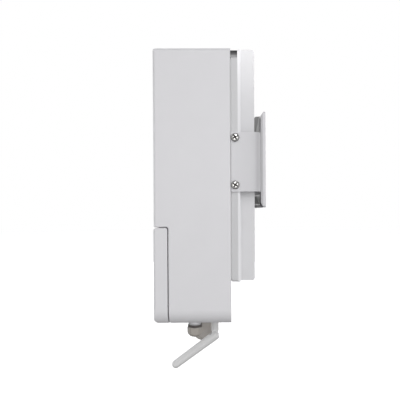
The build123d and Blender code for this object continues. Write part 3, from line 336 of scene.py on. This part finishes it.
def gland_nut(size, bore, end_radius, straight, material):
    """A domed nut in place of the CAD's; straight is the share of its height before the dome starts."""
    low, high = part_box(f"{size}_gland_nut")
    middle = (low + high) / 2
    corner = max(high.x - low.x, high.y - low.y) / 2
    flat = corner * cos(radians(30))
    tall = high.z - low.z
    angles = [2 * pi * i / NUT_POINTS for i in range(NUT_POINTS)]
    hexagon = [flat / cos((angle + pi / 6) % (pi / 3) - pi / 6) for angle in angles]

    def ring(radii, drop):
        return [(middle.x + r * cos(angle), middle.y + r * sin(angle), high.z - drop * tall)
                for r, angle in zip(radii, angles)]

    def circle(radius, drop):
        return ring([radius] * NUT_POINTS, drop)

    # the outside, as (share of the corner's radius, share of the height from the top)
    profile = [(0.93, 0.0), (0.985, 0.025), (1.0, 0.06), (1.0, 0.30), (1.0, straight)]
    end_share = end_radius / corner
    for k in range(1, DOME_STEPS + 1):
        t = k / DOME_STEPS
        profile.append((end_share + (1 - end_share) * (1 - t ** 2.1) ** 0.75, straight + (1 - straight) * t))
    rings = [circle(0.5 * corner, 0.0)]
    rings += [ring([soft_min(side, share * corner, 40) for side in hexagon], drop) for share, drop in profile]
    # round the lip and up into the bore
    rings += [circle(end_radius * 0.93, 1.0), circle(bore * 1.15, 1.0), circle(bore, 0.975), circle(bore, 0.5)]
    nut = piece(f"{size}_dome_nut", rings, material, "unit", smooth=radians(50))
    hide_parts(f"{size}_gland_nut")


gland_nut("small", bore=0.0026, end_radius=0.0032, straight=0.46, material=materials["grey_nylon"])
gland_nut("large", bore=0.0050, end_radius=0.0074, straight=0.62, material=own_finish["large_gland_body"])


# --- Corner gussets of the bracket, beside the wall plate above and below the wings --------------
GUSSET_FRONT, GUSSET_REAR, GUSSET_CHAMFER, GUSSET_LAP = -0.0117, -0.0058, 0.0014, 0.0012
UNDER_X, OVER_X = (0.0838, 0.0852), (0.0854, 0.0864)
BEVEL, BEVEL_SHARE = 0.0001, 0.97


def gusset(name, side, low_z, high_z, cut_top, paints):
    """Two lapped sheets across the corner, the outer one cut along a diagonal."""
    front, rear, chamfer = GUSSET_FRONT, GUSSET_REAR, GUSSET_CHAMFER
    top, bottom = (high_z, low_z) if cut_top else (low_z, high_z)
    inward = -chamfer if cut_top else chamfer
    under = [(front, bottom), (front, top + inward), (front + chamfer, top), (rear, top), (rear, bottom)]
    over = [(front + GUSSET_LAP, bottom), (rear - GUSSET_LAP, top), (rear, top), (rear, bottom)]
    for part, outline, (inner, outer) in (("under", under, UNDER_X), ("over", over, OVER_X)):
        count = len(outline)
        middle_y = sum(y for y, _ in outline) / count
        middle_z = sum(z for _, z in outline) / count
        rings = []
        for x, share in ((inner, BEVEL_SHARE), (inner + BEVEL, 1.0), (outer - BEVEL, 1.0), (outer, BEVEL_SHARE)):
            rings.append([(side * x, middle_y + (y - middle_y) * share, middle_z + (z - middle_z) * share)
                          for y, z in outline])
        piece(f"{name}_{part}", rings, paints[part], "unit", smooth=radians(20))


# painted shade: the gussets' grey tones stand in for the shade they sit in, the outer sheet lighter than the inner
def gusset_shade_paint(name, tone):
    return node_material(f"gusset_{name}_paint", (tone, tone, tone), 0.01, 0.5, grain=1600, bump=0.2)


wing_low, wing_high = (corner.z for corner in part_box("mounting_bracket"))
plate_low, plate_high = (corner.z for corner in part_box("wall_plate"))
end, start = plate_low + 0.0022, wing_low - 0.0008
upper_paints = {"under": gusset_shade_paint("upper_under", 0.215), "over": gusset_shade_paint("upper_over", 0.34)}
lower_paints = {}
for part, dark in (("under", 0.12), ("over", 0.2)):
    # painted light near the wing and at the far end, painted shade between them
    lower_light_and_shade_bands = [(end, 1.0), (end + 0.0011, 0.4), (end + 0.0023, dark), (start - 0.0095, dark),
                   (start - 0.0048, dark + 0.02), (start - 0.0032, dark + 0.09), (start - 0.0022, 0.5),
                   (start - 0.0012, 1.0)]
    lower_paints[part] = paint_light_and_shade(gusset_shade_paint(f"lower_{part}", 0.58), "Z", end - 0.001, start, lower_light_and_shade_bands)
for side, hand in ((1, "right"), (-1, "left")):
    gusset(f"gusset_{hand}_upper", side, wing_high + 0.0008, plate_high - 0.0048, True, upper_paints)
    gusset(f"gusset_{hand}_lower", side, end, start, False, lower_paints)

# --- Floor ---------------------------------------------------------------------------------------
floor_mesh = bpy.data.meshes.new("floor")
floor_build = bmesh.new()
bmesh.ops.create_grid(floor_build, x_segments=4, y_segments=4, size=6.0)
floor_build.to_mesh(floor_mesh)
floor_build.free()
floor = bpy.data.objects.new("floor", floor_mesh)
floor.location = (0, 0, -0.34)
bpy.context.scene.collection.objects.link(floor)
floor_paint = node_material("floor_paint", (0.93, 0.93, 0.93), 0.004, 0.8, scale=2.0, grain=120, bump=0.02)
floor_shader = floor_paint.node_tree.nodes["Principled BSDF"]
floor_shader.inputs["Emission Color"].default_value = (1, 1, 1, 1)
floor_shader.inputs["Emission Strength"].default_value = 0.75
floor.data.materials.append(floor_paint)
floor.visible_diffuse = False
floor.visible_glossy = False

# --- Light ---------------------------------------------------------------------------------------
# a white backdrop, and a softer grey room round it that lights the unit
world = bpy.data.worlds.new("studio")
bpy.context.scene.world = world
world.use_nodes = True
tree = world.node_tree
backdrop = tree.nodes["Background"]
backdrop.inputs["Color"].default_value = (1, 1, 1, 1)
room = tree.nodes.new("ShaderNodeBackground")
sky = tree.nodes.new("ShaderNodeTexCoord")
split = tree.nodes.new("ShaderNodeSeparateXYZ")
height = tree.nodes.new("ShaderNodeMapRange")
height.inputs["From Min"].default_value = -1.0
tones = tree.nodes.new("ShaderNodeValToRGB")
tones.color_ramp.elements[0].color = (0.30, 0.30, 0.30, 1)
tones.color_ramp.elements[1].color = (0.16, 0.16, 0.17, 1)
middle = tones.color_ramp.elements.new(0.5)
middle.color = (0.46, 0.46, 0.46, 1)
ray = tree.nodes.new("ShaderNodeLightPath")
choose = tree.nodes.new("ShaderNodeMixShader")
tree.links.new(sky.outputs["Generated"], split.inputs["Vector"])
tree.links.new(split.outputs["Z"], height.inputs["Value"])
tree.links.new(height.outputs["Result"], tones.inputs["Fac"])
tree.links.new(tones.outputs["Color"], room.inputs["Color"])
tree.links.new(ray.outputs["Is Camera Ray"], choose.inputs["Fac"])
tree.links.new(room.outputs["Background"], choose.inputs[1])
tree.links.new(backdrop.outputs["Background"], choose.inputs[2])
tree.links.new(choose.outputs["Shader"], tree.nodes["World Output"].inputs["Surface"])


def soft_light(name, place, aim, width, height, watts):
    """A rectangular lamp at place, turned to aim, in metres."""
    data = bpy.data.lights.new(name, "AREA")
    data.shape = "RECTANGLE"
    data.size = width
    data.size_y = height
    data.energy = watts
    lamp = bpy.data.objects.new(name, data)
    lamp.location = place
    lamp.rotation_euler = (Vector(aim) - Vector(place)).to_track_quat("-Z", "Y").to_euler()
    bpy.context.scene.collection.objects.link(lamp)


soft_light("key_light", (1.38, 0.37, 1.15), (0, -0.05, 0), 1.1, 1.5, 9.2)
soft_light("side_light", (1.9, 0.0, -0.18), (0, -0.05, -0.05), 1.8, 1.44, 9.4)
soft_light("top_strip", (1.85, 0.12, 0.86), (0, -0.03, 0.11), 0.9, 0.3, 4.2)
# these stay on the far side of the unit's right face, so they light only its other faces
soft_light("front_fill", (-0.75, -1.8, 0.15), (0, -0.1, 0), 1.1, 1.4, 13)
soft_light("rear_fill", (-0.75, 1.8, 0.15), (0, 0, 0), 1.1, 1.4, 11)
soft_light("left_fill", (-1.9, -0.1, 0.1), (0, -0.05, 0), 1.4, 1.4, 9)

# --- Camera --------------------------------------------------------------------------------------
# level and square to the unit's right side, but for the small angles that the photo's outline gives
CAMERA_PLACE = (0.579, -0.0462, -0.0556)
YAW, DIP, ROLL = radians(-0.585), radians(90 - 0.484), radians(-0.3)
lens = bpy.data.cameras.new("camera")
lens.sensor_width = 36.0
lens.lens = 40.6
lens.shift_x = -0.0698
lens.shift_y = 0.0365
lens.clip_start = 0.01
camera = bpy.data.objects.new("camera", lens)
bpy.context.scene.collection.objects.link(camera)
turn = Matrix.Rotation(YAW, 4, "Z") @ Matrix.Rotation(radians(90), 4, "Z")
turn = turn @ Matrix.Rotation(DIP, 4, "X") @ Matrix.Rotation(ROLL, 4, "Z")
camera.matrix_world = Matrix.Translation(CAMERA_PLACE) @ turn
bpy.context.scene.camera = camera
bpy.context.scene.view_settings.view_transform = "Standard"
